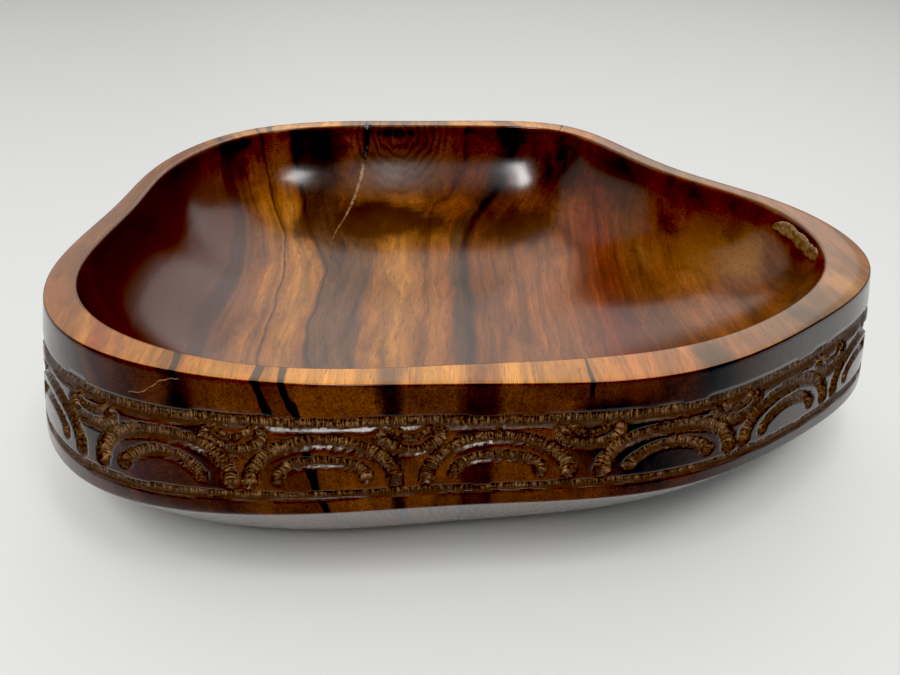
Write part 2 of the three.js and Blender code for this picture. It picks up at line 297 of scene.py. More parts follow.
def carve(distance, drop, band):
    """The carved band: depth, share of the full cut, place along each cut, and side of it."""
    carving = Carving(distance, drop, band)
    for groove in (UPPER_GROOVE, LOWER_GROOVE):
        carving.groove(groove["level"], groove["half_width"], groove["depth"])
    for i, slip in enumerate(UNIT_SLIPS):
        hanging = FIRST_HANGING + RIM_LENGTH * i / len(UNIT_SLIPS) + slip
        arch = hanging + ARCH_AFTER_HANGING
        for centre, cut in (
            (hanging, HANGING_OUTER), (hanging, HANGING_INNER), (arch, ARCH_OUTER), (arch, ARCH_INNER),
        ):
            carving.arc(centre, cut, RIB_LAYING * i)
    return [v.reshape(carving.shape) for v in (carving.depth, carving.share, carving.along, carving.side)]


# ---- The wood's figure: where each point lies among the tree's growth layers

KNOT = np.array([-40.0, 134.0])  # where the knot's axis meets the back wall, in plan
KNOT_DROP = 6.0  # of the axis, below the rim
KNOT_CORE = 3.0  # how far from the axis the rings stay blunt
# How the layers part round the knot, left and right of it: how far, and how far forward it shows.
PARTING_LEFT = (32.0, 60.0)
PARTING_RIGHT = (28.0, 28.0)
PARTING_WIDTH = 18.0
# The sweep outward on the left: how far, and the x and the y where it starts, each with its run.
LAYER_SWEEP = 33.0
SWEEP_X, SWEEP_X_RUN = 5.0, 100.0
SWEEP_Y, SWEEP_Y_RUN = -143.0, 110.0
# The lean at the front, for each millimetre of drop, and the x and the y where it starts.
LAYER_LEAN = 0.27
LEAN_X, LEAN_Y, LEAN_RUN = -10.0, -100.0, 40.0


def growth_layer(x, y, drop):
    """Where the growth layer through a point meets the front rim, as x in millimetres.

    The layers stand upright and run from front to back. On the left they swing outward towards
    the back, they part round the knot in the back wall, and they lean where they reach the front.
    """
    left_of_knot = x < KNOT[0]
    strength = np.where(left_of_knot, PARTING_LEFT[0], PARTING_RIGHT[0])
    spread = np.where(left_of_knot, PARTING_LEFT[1], PARTING_RIGHT[1])
    near = np.exp(-(((y - KNOT[1]) / spread) ** 2))
    straight = x - strength * np.tanh((x - KNOT[0]) / PARTING_WIDTH) * near
    sweep = LAYER_SWEEP * smooth((SWEEP_X - straight) / SWEEP_X_RUN)
    sweep = sweep * smooth((y - SWEEP_Y) / SWEEP_Y_RUN)
    lean = LAYER_LEAN * drop * smooth((LEAN_X - x) / LEAN_RUN) * smooth((LEAN_Y - y) / LEAN_RUN)
    return straight + sweep - lean


# Stains: place (x, y, drop below the rim), reach along x, y and z, strength. "red" is dark red
# heartwood, "dark" is black-brown, "gold" is yellow-brown.
STAINS = {
    "red": [
        ((-150, 10, 25), (34, 110, 40), 1.0),
        ((-138, -60, 30), (26, 60, 40), 0.8),
        ((30, 90, 52), (16, 10, 8), 0.7),
        ((58, 57, 52), (12, 13, 8), 0.45),
        ((79, 27, 54), (8, 18, 9), 0.6),
        ((86, -6, 56), (5, 18, 8), 0.85),
        ((70, 105, 22), (34, 30, 18), 0.6),
    ],
    "dark": [
        ((-136, 100, 6), (14, 18, 16), 0.6),
        ((-92, 118, 8), (7, 12, 22), 0.7),
        ((-78, 127, 13), (12, 14, 16), 0.5),
        ((62, 113, 20), (30, 24, 20), 0.6),
        ((90, 74, 13), (20, 28, 14), 0.8),
        ((38, 88, 50), (32, 22, 12), 0.95),
        ((-98, 80, 48), (8, 22, 10), 0.75),
        ((112, 30, 24), (9, 18, 7), 0.55),
        ((134, 2, 17), (7, 12, 6), 0.5),
        ((112, -10, 45), (14, 20, 10), 0.35),
        ((139, -58, 19), (4, 4, 3), 1.0),
        ((-42, 133, 5), (14, 6, 2.6), 0.9),
        ((-58, 96, 49), (32, 22, 13), 1.0),
        ((-20, 95, 50), (24, 14, 8), 0.6),
        ((76, -131, 0), (7, 12, 9), 0.8),
        ((118, -104, 0), (10, 10, 5), 0.7),
        ((60, -148, 30), (24, 10, 14), 0.7),
        ((48, -150, 14), (20, 10, 12), 0.75),
        ((85, -140, 12), (20, 14, 12), 0.45),
        ((-90, -144, 9), (5, 6, 6), 0.75),
        ((20, -138, 0), (5, 12, 3), 0.45),
        ((-128, -128, 30), (30, 30, 16), 0.5),
    ],
    "gold": [
        ((120, 8, 24), (16, 22, 18), 0.9),
        ((138, -8, 22), (10, 16, 12), 0.8),
        ((98, 30, 40), (14, 26, 12), 0.45),
        ((-40, 128, 24), (40, 24, 16), 0.8),
        ((-60, 120, 38), (30, 20, 5), 0.6),
        ((140, -80, 0), (12, 12, 4), 0.6),
        ((-120, 105, 12), (10, 20, 16), 0.5),
    ],
}


def stain(points, blobs):
    """How strongly a kind of stain colours each point, from 0 to 1."""
    left = np.ones(len(points))
    for place, reach, strength in blobs:
        away = (points - np.array(place, float)) / np.array(reach, float)
        left *= 1 - strength * np.exp(-(away ** 2).sum(1))
    return 1 - left


def knot_rings(points):
    """Distance from the knot's axis, which runs through the back wall from front to back."""
    level = points[:, 0] - KNOT[0]
    rise = points[:, 2] - KNOT_DROP
    return np.sqrt(level ** 2 + rise ** 2 + KNOT_CORE ** 2)


def in_scene(name, data):
    """A new object, linked to the scene."""
    made = bpy.data.objects.new(name, data)
    bpy.context.scene.collection.objects.link(made)
    return made


def write_values(mesh, values):
    for name, value in values.items():
        attribute = mesh.attributes.new(name, "FLOAT", "POINT")
        attribute.data.foreach_set("value", np.asarray(value, np.float32))


def wood_values(mesh, points, rim, hollow):
    """Values that the wood's material reads, one for each vertex."""
    normals = np.empty(len(mesh.vertices) * 3, np.float32)
    mesh.vertices.foreach_get("normal", normals)
    along_fibre = normals.reshape(-1, 3)[:, 1]
    placed = np.stack([points[:, 0], points[:, 1], HEIGHT - points[:, 2]], 1)
    values = {
        "layer": growth_layer(*placed.T),
        "rim": rim,
        "hollow": hollow,
        "end_grain": smooth(np.abs(along_fibre)),
        "knot": knot_rings(placed),
    }
    for kind, blobs in STAINS.items():
        values[kind] = stain(placed, blobs)
    return values


# ---- Rings of the body

class Skin:
    """A closed skin made of rings; neighbouring rings have equal or halved or doubled columns."""

    def __init__(self):
        self.rings = []
        self.values = []

    def add(self, points, cut=0.0, along=0.0, side=0.0, rim=0.0, hollow=0.0):
        values = np.zeros((len(points), 5))
        for column, value in enumerate((cut, along, side, rim, hollow)):
            values[:, column] = value
        self.rings.append(points)
        self.values.append(values)

    def mesh(self, name):
        starts = np.concatenate([[0], np.cumsum([len(r) for r in self.rings])])
        points = [*self.rings, self.rings[0].mean(0)[None], self.rings[-1].mean(0)[None]]
        values = [*self.values, self.values[0][:1], self.values[-1][:1]]
        faces = []
        for a, b, ring_a, ring_b in zip(starts, starts[1:], self.rings, self.rings[1:]):
            faces += bridge(a, len(ring_a), b, len(ring_b))
        first, last = starts[-1], starts[-1] + 1
        n = len(self.rings[0])
        faces += [(first, (i + 1) % n, i) for i in range(n)]
        n, a = len(self.rings[-1]), starts[-2]
        faces += [(last, a + i, a + (i + 1) % n) for i in range(n)]
        mesh = bpy.data.meshes.new(name)
        mesh.from_pydata(np.concatenate(points) * MM, [], faces)
        mesh.update()
        return mesh, np.concatenate(points), np.concatenate(values)


def bridge(a, count_a, b, count_b):
    """Faces between a lower ring and the next one."""
    if count_a == count_b:
        return [(a + i, a + (i + 1) % count_a, b + (i + 1) % count_a, b + i) for i in range(count_a)]
    faces = []
    if count_a == 2 * count_b:
        for i in range(count_b):
            j = (i + 1) % count_b
            left, middle, right = a + 2 * i, a + 2 * i + 1, a + (2 * i + 2) % count_a
            faces += [(left, middle, b + i), (middle, b + j, b + i), (middle, right, b + j)]
    else:
        for i in range(count_a):
            j = (i + 1) % count_a
            left, middle, right = b + 2 * i, b + 2 * i + 1, b + (2 * i + 2) % count_b
            faces += [(a + i, middle, left), (a + i, a + j, middle), (a + j, right, middle)]
    return faces


def underside_ring(t, share):
    """A ring of the underside, from the wall's lower edge (share 0) to the flat foot (1)."""
    band = blend(t, BAND_HEIGHT)
    height = HEIGHT - band
    start = 3 * share * (1 - share) ** 2 * UNDERSIDE_STRAIGHT
    fall = (start + 3 * share ** 2 * (1 - share) + share ** 3) * height
    inset = fall * blend(t, UNDERCUT) + share ** 3 * FOOT_REACH * height
    return offset_point(t, blend(t, FLARE) - inset, band + fall)


def hollow_point(t, angle):
    """The hollow's surface: angle is 0 under the rim and a right angle in the middle."""
    share = np.sin(angle) ** (2 / HOLLOW_DEPTH_POWER)
    spread = np.cos(angle) ** (2 / HOLLOW_PLAN_POWER)
    edge = offset_point(t, -blend(t, RIM_WIDTH), 0)
    level = HOLLOW_CENTRE + (edge[..., :2] - HOLLOW_CENTRE) * np.asarray(spread)[..., None]
    height = np.broadcast_to(HEIGHT - HOLLOW_DEPTH * share, level.shape[:-1])
    return np.concatenate([level, height[..., None]], -1)


def add_underside(skin, half, quarter):
    outline = underside_ring(quarter, 1.0)
    middle = outline.mean(0)
    for spread in FOOT_SPREADS:
        skin.add(middle + (outline - middle) * spread)
    for share in LOW_UNDERSIDE:
        skin.add(underside_ring(quarter, share))
    for share in HIGH_UNDERSIDE:
        skin.add(underside_ring(half, share))


def add_wall(skin, full, distance):
    band = blend(full, BAND_HEIGHT)
    drop = WALL_SHARES[:, None] * band[None]
    place = np.broadcast_to(distance, drop.shape)
    depth, cut, along, side = carve(place, drop, np.broadcast_to(band, drop.shape))
    for i, share in enumerate(WALL_SHARES):
        wall = offset_point(full, wall_offset(full, share) - depth[i], drop[i])
        skin.add(wall, cut[i], along[i], side[i])


def add_rim(skin, full, half):
    skin.add(offset_point(full, -RIM_CHAMFER, RIM_CHAMFER))
    skin.add(offset_point(full, -RIM_TOP_START, 0.0), rim=1)
    width = blend(half, RIM_WIDTH)
    for share in RIM_TOP_SHARES:
        skin.add(offset_point(half, -share * width, 0.0), rim=1)
    for turn in np.radians(RIM_EASING_TURNS):
        inset = -width + RIM_EASING * (1 - math.sin(turn))
        drop = RIM_EASING * (1 - math.cos(turn))
        fallen = math.degrees(turn) / 90
        skin.add(offset_point(half, inset, drop), rim=1 - fallen, hollow=fallen)


def add_hollow(skin, half, quarter, eighth):
    for stations, angles in ((half, HIGH_HOLLOW), (quarter, MIDDLE_HOLLOW), (eighth, LOW_HOLLOW)):
        for angle in np.radians(angles):
            skin.add(hollow_point(stations, angle), hollow=1)


def centring(points):
    """How far the finished body moves so that its plan is centred on the CAD body's."""
    shift = np.array([BODY_LOW.x + BODY_HIGH.x, BODY_LOW.y + BODY_HIGH.y, 0]) / 2 / MM
    low, high = points.min(0), points.max(0)
    shift[:2] -= (low[:2] + high[:2]) / 2
    return shift


def build_body():
    """The carved block as one closed skin, and how far it was moved to be centred."""
    full, distance = columns(BAND_COLUMNS)
    half, quarter, eighth = full[::2], full[::4], full[::8]
    skin = Skin()
    add_underside(skin, half, quarter)
    wall_start = sum(len(ring) for ring in skin.rings)
    add_wall(skin, full, distance)
    add_rim(skin, full, half)
    add_hollow(skin, half, quarter, eighth)
    mesh, points, values = skin.mesh("bowl_carved")
    shift = centring(points)
    mesh.transform(Matrix.Translation(Vector(shift * MM)))
    cut, along, side, rim, hollow = values.T
    figure = wood_values(mesh, points, rim, hollow)
    write_values(mesh, {"cut": cut, "along": along, "side": side, **figure})
    mesh.polygons.foreach_set("use_smooth", np.ones(len(mesh.polygons), bool))
    for face in mesh.polygons:
        face.material_index = int(min(face.vertices) < wall_start)
    return in_scene("bowl_carved", mesh), shift


# ---- The fillings

FILL_THICKNESS = 2.0
FILL_ACROSS = 15  # points across a filling
FILL_SPACING = 0.5  # between points along a crack
VOID_SPACING = 0.4  # between points along the void
EDGE_SUNK = 0.35  # how far a filling's edge lies below the wood around it
# How late a filling's rounding starts, across it and along it; higher is later.
SIDE_POWER = 5
END_POWER = 24
ROUGH_PASSES = 2  # how often the lumps are averaged with their neighbours

# The void on the right wall of the hollow: y, and the drop of its upper and its lower edge.
VOID_EDGES = np.array([
    [-49.5, 3.6, 5.2], [-48.5, 2.6, 6.9], [-46.5, 2.3, 8.4], [-44.5, 2.0, 8.6], [-42, 2.9, 8.8],
    [-40, 2.5, 9.2], [-37.5, 3.3, 9.5], [-35, 2.6, 9.0], [-32, 2.2, 9.7], [-29, 2.3, 9.6],
    [-26, 2.9, 8.9], [-23, 2.3, 8.7], [-20, 1.9, 8.8], [-17, 2.0, 9.1], [-14.5, 2.6, 9.2],
    [-12, 3.6, 9.0], [-10, 5.2, 8.8], [-8.6, 7.0, 8.0],
])
# The crack, from the rim down the back wall: x, y, and its width.
DARK_CRACK = np.array([[-58.6, 139.5, 6.6], [-59.6, 136, 6.0], [-61.2, 132, 4.0], [-62.6, 127.5, 2.4]])
GOLD_CRACK = np.array([
    [-62.7, 127.2, 2.4], [-63.5, 124, 2.9], [-66, 117, 2.1], [-68.5, 109.5, 2.4], [-72.5, 98, 1.7],
    [-77, 86, 1.2], [-79, 76, 0.9], [-78.5, 65, 0.8], [-76.5, 55, 0.6],
])
# The hairline on the outer wall: distance from its middle along the wall, drop, and width.
HAIRLINE = np.array([
    [-10, 10, 0.5], [-8, 9.5, 0.5], [-5.5, 9.3, 0.5], [-3, 8.2, 0.55], [-1, 6.4, 0.5], [0, 6.1, 0.55],
    [2.5, 3.8, 0.5], [4.5, 3.3, 0.5], [6.5, 2.4, 0.55], [8.5, 2.3, 0.45], [10, 1.8, 0.5],
])
HAIRLINE_MIDDLE = np.array([-97.0, -141.0])


def polar(points):
    away = points - HOLLOW_CENTRE
    return np.arctan2(away[..., 1], away[..., 0])


# The hollow's edge at the rim, and the part of it that bounds the pointed right corner.
HOLLOW_EDGE_T = np.linspace(0, 1, 4001)[:-1]
HOLLOW_EDGE = offset_point(HOLLOW_EDGE_T, -blend(HOLLOW_EDGE_T, RIM_WIDTH), 0)[:, :2]
RIGHT_EDGE = HOLLOW_EDGE[(HOLLOW_EDGE[:, 0] > 120) & (HOLLOW_EDGE[:, 1] < 20)]


def hollow_share(spread):
    """Depth, as a share of the hollow's, where its plan has shrunk to a spread."""
    return (1 - np.clip(spread, 0, 1) ** HOLLOW_PLAN_POWER) ** (1 / HOLLOW_DEPTH_POWER)


def on_hollow_from_above(level):
    """Points of the hollow's surface below these places in plan."""
    turn = polar(HOLLOW_EDGE)
    order = np.argsort(turn)
    reach = np.linalg.norm(HOLLOW_EDGE - HOLLOW_CENTRE, axis=1)
    edge = np.interp(polar(level), turn[order], reach[order], period=2 * math.pi)
    spread = np.linalg.norm(level - HOLLOW_CENTRE, axis=-1) / edge
    height = HEIGHT - HOLLOW_DEPTH * hollow_share(spread)
    return np.concatenate([level, height[..., None]], -1)


def on_hollow_from_left(y, drop):
    """Points of the hollow's right wall at these y and drops."""
    spread = (1 - (drop / HOLLOW_DEPTH) ** HOLLOW_DEPTH_POWER) ** (1 / HOLLOW_PLAN_POWER)
    edge_y = HOLLOW_CENTRE[1] + (y - HOLLOW_CENTRE[1]) / spread
    edge_x = np.interp(edge_y, RIGHT_EDGE[:, 1], RIGHT_EDGE[:, 0])
    x = HOLLOW_CENTRE[0] + (edge_x - HOLLOW_CENTRE[0]) * spread
    return np.stack([x, y, HEIGHT - drop], -1)


def resampled(table, spacing):
    """A table of path points, at even spacing along its first two columns."""
    run = np.concatenate([[0], np.cumsum(np.linalg.norm(np.diff(table[:, :2], axis=0), axis=1))])
    steps = np.linspace(0, run[-1], max(int(run[-1] / spacing), 4))
    return np.stack([np.interp(steps, run, column) for column in table.T], -1)


def ribbon(path):
    """Points across a path in its own plane, one row for each path point."""
    along = np.gradient(path[:, :2], axis=0)
    along /= np.linalg.norm(along, axis=1, keepdims=True)
    across = np.stack([-along[:, 1], along[:, 0]], -1)
    side = np.linspace(-0.5, 0.5, FILL_ACROSS)
    return path[:, None, :2] + across[:, None] * side[None, :, None] * path[:, None, 2:3]


def shell_faces(rows, count):
    """Faces of a closed piece between two grids of points, the top one first."""
    faces = []
    under = rows * count
    for i in range(rows - 1):
        for j in range(count - 1):
            a, b = i * count + j, (i + 1) * count + j
            faces.append((a, b, b + 1, a + 1))
            faces.append((under + a, under + a + 1, under + b + 1, under + b))
    border = [
        *range(count - 1),
        *[i * count + count - 1 for i in range(rows - 1)],
        *[(rows - 1) * count + j for j in range(count - 1, 0, -1)],
        *[i * count for i in range(rows - 1, 0, -1)],
    ]
    for a, b in zip(border, border[1:] + border[:1]):
        faces.append((a, b, under + b, under + a))
    return faces


def face_outward(mesh):
    working = bmesh.new()
    working.from_mesh(mesh)
    bmesh.ops.recalc_face_normals(working, faces=working.faces)
    working.to_mesh(mesh)
    working.free()


def filling(name, surface, toward, crown, lump, shift):
    """A closed piece let into a surface: a grid of points, a direction out of the wood, its crown."""
    rows, count = surface.shape[:2]
    normal = np.cross(np.gradient(surface, axis=0), np.gradient(surface, axis=1))
    normal /= np.linalg.norm(normal, axis=-1, keepdims=True) + 1e-9
    normal *= np.sign((normal * toward).sum(-1).mean())
    side = np.linspace(-1, 1, count)[None]
    end = np.linspace(-1, 1, rows)[:, None]
    edge = np.maximum(np.abs(side) ** SIDE_POWER, np.abs(end) ** END_POWER)
    rough = rng.normal(0, 1, (rows, count))
    for _ in range(ROUGH_PASSES):
        rough = (rough + np.roll(rough, 1, 0) + np.roll(rough, -1, 0) + np.roll(rough, 1, 1)) / 4
    rise = crown + lump * rough * (1 - edge) - (crown + EDGE_SUNK) * edge
    top = surface + normal * rise[..., None]
    bottom = surface - normal * FILL_THICKNESS
    points = np.concatenate([top.reshape(-1, 3), bottom.reshape(-1, 3)]) + shift
    mesh = bpy.data.meshes.new(name)
    mesh.from_pydata(points * MM, [], shell_faces(rows, count))
    mesh.validate()
    mesh.update()
    face_outward(mesh)
    mesh.polygons.foreach_set("use_smooth", np.ones(len(mesh.polygons), bool))
    return in_scene(name, mesh)


def void_surface():
    y = np.arange(VOID_EDGES[0, 0], VOID_EDGES[-1, 0], VOID_SPACING)
    upper = np.interp(y, VOID_EDGES[:, 0], VOID_EDGES[:, 1])
    lower = np.interp(y, VOID_EDGES[:, 0], VOID_EDGES[:, 2])
    share = np.linspace(0, 1, FILL_ACROSS)
    drop = upper[:, None] + (lower - upper)[:, None] * share[None]
    return on_hollow_from_left(np.broadcast_to(y[:, None], drop.shape), drop)


def hairline_surface():
    middle = FINE_LENGTH[np.linalg.norm(FINE_PLACE - HAIRLINE_MIDDLE, axis=1).argmin()]
    strip = ribbon(resampled(HAIRLINE, FILL_SPACING))
    t = station(middle + strip[..., 0])
    drop = strip[..., 1]
    return offset_point(t, wall_offset(t, drop / blend(t, BAND_HEIGHT)), drop)


# For each kind of place, a direction that points out of the wood there.
OUT_OF_RIGHT_WALL = np.array([-0.6, 0.0, 0.8])
OUT_OF_BACK_WALL = np.array([0.0, -0.6, 0.8])
OUT_OF_FRONT_LEFT = np.array([-0.2, -1.0, 0.0])
# Each filling's crown, and the height of its lumps.
CROWNS = {
    "void_fill": (0.55, 0.16),
    "crack_fill_upper": (0.25, 0.1),
    "crack_fill_lower": (0.25, 0.2),
    "hairline_fill": (0.08, 0.05),
}


def crack_surface(table):
    return on_hollow_from_above(ribbon(resampled(table, FILL_SPACING)))


def build_fillings(shift):
    """The four fillings, each with the CAD node that it stands for."""
    pieces = {}
    for node, name, surface, toward in (
        ("void_fill", "void_plug", void_surface(), OUT_OF_RIGHT_WALL),
        ("crack_fill_upper", "crack_resin", crack_surface(DARK_CRACK), OUT_OF_BACK_WALL),
        ("crack_fill_lower", "crack_filler", crack_surface(GOLD_CRACK), OUT_OF_BACK_WALL),
        ("hairline_fill", "hairline_filler", hairline_surface(), OUT_OF_FRONT_LEFT),
    ):
        crown, lump = CROWNS[node]
        pieces[node] = filling(name, surface, toward, crown, lump, shift)
    return pieces


# ---- Materials

class Nodes:
    """Short names for the shader nodes that the materials use."""

    def __init__(self, name):
        self.material = bpy.data.materials.new(name)
        self.material.use_nodes = True
        self.tree = self.material.node_tree
        self.shader = self.tree.nodes["Principled BSDF"]

    def put(self, socket, value):
        if isinstance(value, bpy.types.NodeSocket):
            self.tree.links.new(value, socket)
        else:
            socket.default_value = value

    def node(self, kind, **inputs):
        """A new node, with its named inputs set or linked."""
        made = self.tree.nodes.new("ShaderNode" + kind)
        for name, value in inputs.items():
            self.put(made.inputs[name], value)
        return made

    def math(self, operation, a, b=0.0, c=0.0):
        node = self.node("Math")
        node.operation = operation
        for socket, value in zip(node.inputs, (a, b, c)):
            self.put(socket, value)
        return node.outputs[0]

    def product(self, first, *others):
        for other in others:
            first = self.math("MULTIPLY", first, other)
        return first

    def rest(self, share):
        """What is left of 1."""
        return self.math("SUBTRACT", 1.0, share)

    def centred(self, noise, amount):
        """A noise from 0 to 1, spread over an amount about zero."""
        return self.math("MULTIPLY_ADD", noise, amount, -amount / 2)

    def attribute(self, name):
        node = self.node("Attribute")
        node.attribute_name = name
        return node.outputs["Fac"]

    def place(self):
        """Position in millimetres."""
        return self.scaled(self.node("TexCoord").outputs["Object"], 1 / MM)

    def split(self, vector):
        return self.node("SeparateXYZ", Vector=vector).outputs

    def join(self, x, y, z):
        return self.node("CombineXYZ", X=x, Y=y, Z=z).outputs[0]

    def sized(self, x, y, z, sizes):
        """A vector for a noise whose features are about sizes millimetres long."""
        return self.join(*(self.math("DIVIDE", value, size) for value, size in zip((x, y, z), sizes)))

    def noise(self, vector, detail=3.0, roughness=0.5, distortion=0.0):
        return self.node(
            "TexNoise", Vector=vector, Scale=1.0, Detail=detail, Roughness=roughness, Distortion=distortion,
        ).outputs["Fac"]

    def span(self, value, low, high, to_low=0.0, to_high=1.0, kind="SMOOTHSTEP"):
        names = ("Value", "From Min", "From Max", "To Min", "To Max")
        node = self.node("MapRange", **dict(zip(names, (value, low, high, to_low, to_high))))
        node.interpolation_type = kind
        return node.outputs[0]

    def mix(self, share, a, b):
        node = self.node("Mix")
        node.data_type = "RGBA"
        self.put(node.inputs[0], share)
        for socket, value in zip((node.inputs[6], node.inputs[7]), (a, b)):
            self.put(socket, (*value, 1.0) if isinstance(value, tuple) else value)
        return node.outputs[2]

    def facing(self):
        """0 where the surface faces the viewer, and 1 at its edges."""
        return self.node("LayerWeight", Blend=0.5).outputs["Facing"]

    def scaled(self, color, amount):
        """A colour or a vector, times an amount."""
        node = self.node("VectorMath")
        node.operation = "SCALE"
        self.put(node.inputs[0], color)
        self.put(node.inputs["Scale"], amount)
        return node.outputs[0]

    def deepen(self, color, power):
        return self.node("Gamma", Color=color, Gamma=power).outputs[0]

    def bands(self, place, stops):
        """Colour by place, with stops of (place, colour)."""
        low, high = stops[0][0], stops[-1][0]
        node = self.node("ValToRGB")
        ramp = node.color_ramp
        ramp.interpolation = "EASE"
        while len(ramp.elements) < len(stops):
            ramp.elements.new(0.5)
        for element, (where, color) in zip(ramp.elements, stops):
            element.position = (where - low) / (high - low)
            element.color = (*color, 1.0)
        self.put(node.inputs[0], self.span(place, low, high, kind="LINEAR"))
        return node.outputs[0]

    def bump(self, height, distance, **normal):
        return self.node("Bump", Height=height, Strength=1.0, Distance=distance * MM, **normal).outputs[0]


PALE = (0.42, 0.165, 0.024)
TAN = (0.31, 0.108, 0.013)
BROWN = (0.17, 0.052, 0.008)
ROSY = (0.25, 0.078, 0.012)
REDDISH = (0.17, 0.032, 0.005)
GREY = (0.125, 0.052, 0.016)
DARK = (0.05, 0.018, 0.007)
BLACK = (0.012, 0.006, 0.004)
DEEP_RED = (0.06, 0.008, 0.002)

# Colour of the growth layers, by growth_layer(), at the rim and wall and in the hollow.
OUTER_BANDS = [
    (-165, BROWN), (-140, ROSY), (-127, BROWN), (-121, TAN), (-117, REDDISH), (-109, ROSY),
    (-96, TAN), (-92, BROWN), (-87, BROWN), (-83, TAN), (-76, PALE), (-67, TAN), (-60, TAN),
    (-54.5, PALE), (-40, PALE), (-29, PALE), (-26, GREY),
    (-23, GREY), (-20, PALE), (-6, PALE), (0, BROWN), (7, BROWN), (12, PALE), (38, TAN), (48, ROSY),
    (62, ROSY), (85, BROWN), (110, GREY), (165, BROWN),
]
HOLLOW_BANDS = [
    (-160, DEEP_RED), (-112, DEEP_RED), (-105, REDDISH), (-94, BROWN), (-91.5, DARK), (-87.5, DARK),
    (-84, BROWN), (-78, ROSY), (-69, TAN), (-64.5, TAN), (-63.5, DARK), (-62, TAN), (-54, PALE),
    (-48.5, TAN), (-46.5, DARK), (-45, GREY), (-33, GREY), (-29.5, TAN), (-25, PALE), (-17, TAN),
    (-15.5, BROWN), (-14, TAN), (-5, ROSY), (-1, GREY), (5, DARK), (9, BROWN), (20, ROSY),
    (50, ROSY), (80, REDDISH), (96, BROWN), (118, ROSY), (150, BROWN),
]

# Black streaks of the outer skin: layer, half width, how far down the wall each one fades out.
STREAKS = [(-64.0, 1.7, 11.0), (-56.8, 1.6, 60.0), (-89.5, 1.7, 2.0), (37.5, 0.9, 3.0)]
STREAK_STRENGTH = 0.92

# Patterns by place: the size of their features along x, y and z in millimetres, then the noise's
# detail, roughness and distortion.
BY_PLACE = {
    "coarse": ((26, 60, 40), 2, 0.5, 0.0),
    "fine": ((5, 30, 12), 3, 0.5, 0.0),
    "clouds": ((13, 60, 15), 6, 0.62, 0.6),
    "grains": ((0.7, 8, 0.7), 4, 0.75, 0.0),
    "pores": ((0.42, 5.5, 0.42), 2, 0.6, 0.0),
    "ticks": ((0.9, 14, 0.9), 3, 0.7, 0.0),
    "chips": ((1.1, 1.1, 1.1), 3, 0.5, 0.0),
    "worn": ((9, 9, 5), 3, 0.7, 0.0),
    "waves": ((16, 22, 16), 1, 0.5, 0.0),
}
# Patterns that follow the growth layers, where the first size is across the layers.
BY_LAYER = {
    "lines": ((3.2, 120, 60), 4, 0.6, 0.0),
    "threads": ((0.7, 26, 9), 3, 0.6, 0.0),
    "ragged": ((8, 30, 9), 6, 0.65, 0.4),
}
# The gouge's ribs, where the first size is along the cut.
RIBS = ((0.42, 5, 5), 3, 0.65, 0.0)

COARSE_WANDER = 11.0  # of the growth layers, in millimetres
FINE_WANDER = 4.0
# Shading by a pattern: its darkest and its lightest.
LINE_SHADES = (0.62, 1.3)
THREAD_SHADES = (0.85, 1.15)
CLOUD_SHADES = (0.66, 1.34)
GRAIN_SHADES = (0.5, 1.5)
STREAK_FADE = 4.0

# Stains: kind, colour outside and in the hollow, and how fully it covers the wood.
GOLD_STAIN = (0.33, 0.145, 0.035)
RED_STAIN = (0.085, 0.023, 0.007)
STAIN_LOOKS = [
    ("gold", GOLD_STAIN, GOLD_STAIN, 0.75),
    ("red", RED_STAIN, RED_STAIN, 0.85),
    ("dark", (0.034, 0.013, 0.005), (0.068, 0.024, 0.007), 0.88),
]
STAIN_RAGGED = 0.9

# The knot: how its rings wander and how closely they lie, where it fades out, and its colours.
RING_WANDER = 9.0
RING_RATE = 1.35
KNOT_OUTSIDE, KNOT_INSIDE = 44, 22
KNOT_STARTS_Y, KNOT_FULL_Y = 95, 118
KNOT_SHARE = 0.5
RING_DARK, RING_LIGHT = (0.045, 0.017, 0.006), (0.25, 0.1, 0.018)

PORE_COLOR, PORE_SHARE = (0.03, 0.012, 0.006), 0.6
TICK_COLOR, TICK_SHARE = (0.05, 0.018, 0.007), 0.45

# The sanded rim is paler, with a painted sheen; end grain drinks the finish and also takes painted shade;
# the wall is darker than the rim by painted shade.
RIM_LIGHTER = 1.6
# Painted sheen: a pale veil mixed into the rim's colour, standing in for the ceiling's reflection in it.
RIM_PAINTED_SHEEN, RIM_PAINTED_SHEEN_SHARE = (0.72, 0.6, 0.45), 0.13
# End grain is darker partly because it drinks the finish and partly as painted shade on the steep walls
# that face front and back.
END_GRAIN_AND_SHADE_DEEPER = 1.38
END_GRAIN_AND_SHADE_DARKER = 0.55
# Painted shade: the side wall's colour is darkened for the shade it stands in under the top light.
WALL_PAINTED_SHADE = 0.58

# Cuts: their dark ground, and their ribs on the smooth and on the rough side of the cut.
CUT_GROUND = (0.05, 0.021, 0.008)
RIB_SMOOTH, RIB_ROUGH = (0.14, 0.056, 0.018), (0.47, 0.245, 0.108)

# How much of the lacquer's gloss is missing on the rim, on the flat wall, and on rough ribs.
DULL_RIM, DULL_WALL, DULL_RIBS = 0.45, 0.56, 0.5
FLAT_WALL_STARTS, FLAT_WALL_FULL = 36, 42  # heights
COAT_ROUGHNESS = 0.19
COAT_IOR = 1.62
WOOD_SPECULAR = 0.08
UNDERSIDE_SPECULAR = 1.0

# Relief, in millimetres.
WAVE_RELIEF = 0.1
RIB_RELIEF = 0.5
GRAIN_RELIEF = 0.06


